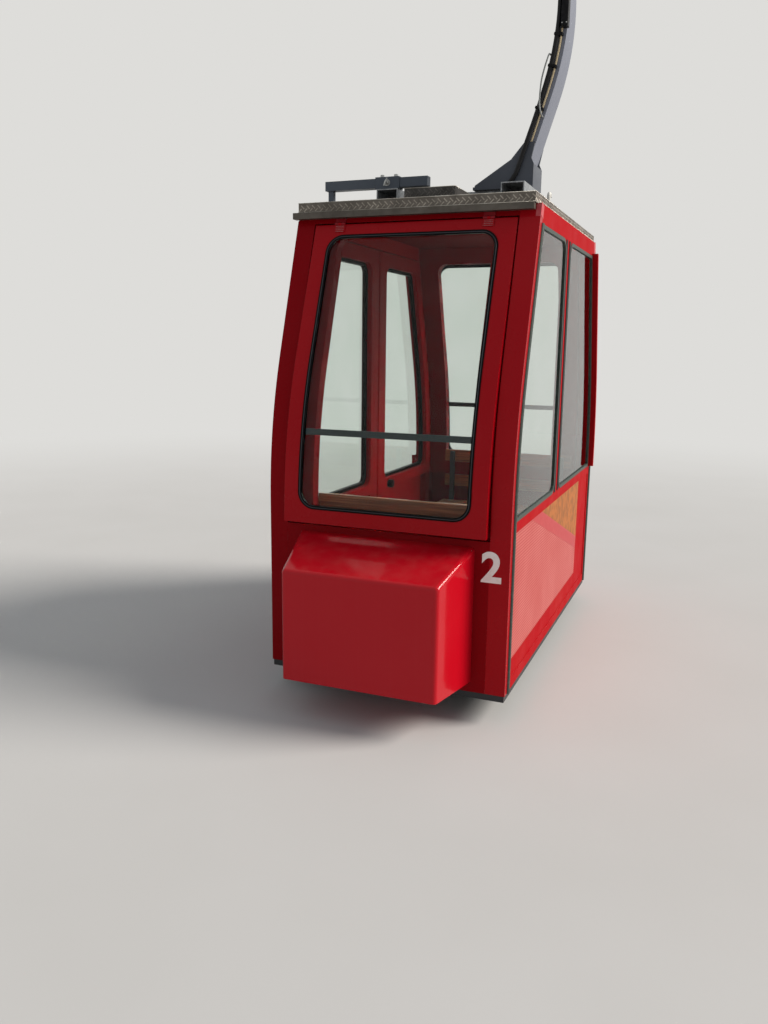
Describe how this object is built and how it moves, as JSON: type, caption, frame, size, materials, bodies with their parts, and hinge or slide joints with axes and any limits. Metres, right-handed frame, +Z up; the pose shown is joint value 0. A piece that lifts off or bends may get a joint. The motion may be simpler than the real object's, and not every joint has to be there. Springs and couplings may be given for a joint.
{
  "type": "cable car cabin with hanger and running carriage",
  "caption": "Small red cable car cabin with glazed side, hinged doors and window flaps, hung by a curved hanger from a wheeled rope carriage.",
  "frame": {"origin": "on the axis of the track rope, midway between the running wheels", "axes": "+Z up, Y along the track rope, +X across it towards the glazed side of the cabin"},
  "size_m": [1.382, 2.952, 4.832],
  "materials": {
    "red_paint": "satin paint",
    "roof_tread": "weathered tread plate",
    "floor_tread": "scuffed tread plate",
    "galvanised": "galvanised",
    "anthracite": "satin paint",
    "grey_paint": "satin paint",
    "white_paint": "satin paint",
    "glass": "clear",
    "seal_rubber": "matt",
    "bench_wood": "varnished",
    "ceiling_paint": "satin paint",
    "bare_steel": "machined",
    "wheel_metal": "greasy",
    "cable_sleeve": "matt",
    "black_plastic": "matt",
    "bar_paint": "satin paint"
  },
  "bodies": {
    "carriage": {"carriage_plates": "anthracite", "carriage_spacers": "anthracite", "pivot_shaft": "bare_steel", "rocker_pins": "bare_steel", "wheel_axles": "bare_steel", "wheel_rockers": "anthracite"},
    "cabin": {"bench_frames": "grey_paint", "bench_slats": "bench_wood", "cable_bundle": "cable_sleeve", "cable_glands": "black_plastic", "cable_loop": "cable_sleeve", "ceiling_panel": "ceiling_paint", "corner_posts_left": "red_paint", "corner_posts_right": "red_paint", "cross_bar": "bar_paint", "cross_bar_sleeve": "bar_paint", "door_hinges": "red_paint", "door_surround": "red_paint", "drip_strips": "roof_tread", "end_walls": "red_paint", "equipment_boxes": "red_paint", "flap_hinges": "red_paint", "floor_plate": "floor_tread", "hanger_arm": "anthracite", "hanger_foot": "anthracite", "hanger_hub": "anthracite", "junction_box": "black_plastic", "roof_beams": "galvanised", "roof_box": "roof_tread", "roof_gooseneck": "white_paint", "roof_plate": "roof_tread", "rub_strip": "red_paint", "side_glass_right": "glass", "side_seals_right": "seal_rubber", "side_wall_right": "red_paint", "underframe": "galvanised"},
    "door_front": {"door_frame_front": "red_paint", "door_glass_front": "glass", "door_seal_front": "seal_rubber"},
    "door_rear": {"door_frame_rear": "red_paint", "door_glass_rear": "glass", "door_latch": "black_plastic", "door_seal_rear": "seal_rubber"},
    "flap_front": {"flap_bar_front": "grey_paint", "flap_frame_front": "red_paint", "flap_glass_front": "glass", "flap_seal_front": "seal_rubber"},
    "flap_rear": {"flap_bar_rear": "grey_paint", "flap_frame_rear": "red_paint", "flap_glass_rear": "glass", "flap_seal_rear": "seal_rubber"},
    "box_lid": {"roof_box_lid": "roof_tread"},
    "wheel_1": {"wheel_1": "wheel_metal"},
    "wheel_2": {"wheel_2": "wheel_metal"},
    "wheel_3": {"wheel_3": "wheel_metal"},
    "wheel_4": {"wheel_4": "wheel_metal"}
  },
  "joints": [
    {"name": "hanger_swing", "type": "hinge", "parent": "carriage", "child": "cabin", "pos_m": [0, 0, 0.1], "axis": [1, 0, 0], "range_deg": [-35, 35]},
    {"name": "door_front_hinge", "type": "hinge", "parent": "cabin", "child": "door_front", "pos_m": [-0.632, -0.981, -3.8], "axis": [0, 0, 1], "range_deg": [0, 90]},
    {"name": "door_rear_hinge", "type": "hinge", "parent": "cabin", "child": "door_rear", "pos_m": [-0.632, 0.981, -3.8], "axis": [0, 0, -1], "range_deg": [0, 90]},
    {"name": "flap_front_hinge", "type": "hinge", "parent": "cabin", "child": "flap_front", "pos_m": [0, -0.84103, -2.2915], "axis": [-1, 0, 0], "range_deg": [0, 55]},
    {"name": "flap_rear_hinge", "type": "hinge", "parent": "cabin", "child": "flap_rear", "pos_m": [0, 0.84103, -2.2915], "axis": [1, 0, 0], "range_deg": [0, 55]},
    {"name": "box_lid_hinge", "type": "hinge", "parent": "cabin", "child": "box_lid", "pos_m": [0, -0.35292, -2.105], "axis": [-1, 0, 0], "range_deg": [0, 80]},
    {"name": "wheel_1_spin", "type": "hinge", "parent": "carriage", "child": "wheel_1", "pos_m": [0, -0.515, 0.15], "axis": [1, 0, 0], "continuous": true},
    {"name": "wheel_2_spin", "type": "hinge", "parent": "carriage", "child": "wheel_2", "pos_m": [0, -0.2, 0.15], "axis": [1, 0, 0], "continuous": true},
    {"name": "wheel_3_spin", "type": "hinge", "parent": "carriage", "child": "wheel_3", "pos_m": [0, 0.2, 0.15], "axis": [1, 0, 0], "continuous": true},
    {"name": "wheel_4_spin", "type": "hinge", "parent": "carriage", "child": "wheel_4", "pos_m": [0, 0.515, 0.15], "axis": [1, 0, 0], "continuous": true}
  ]
}
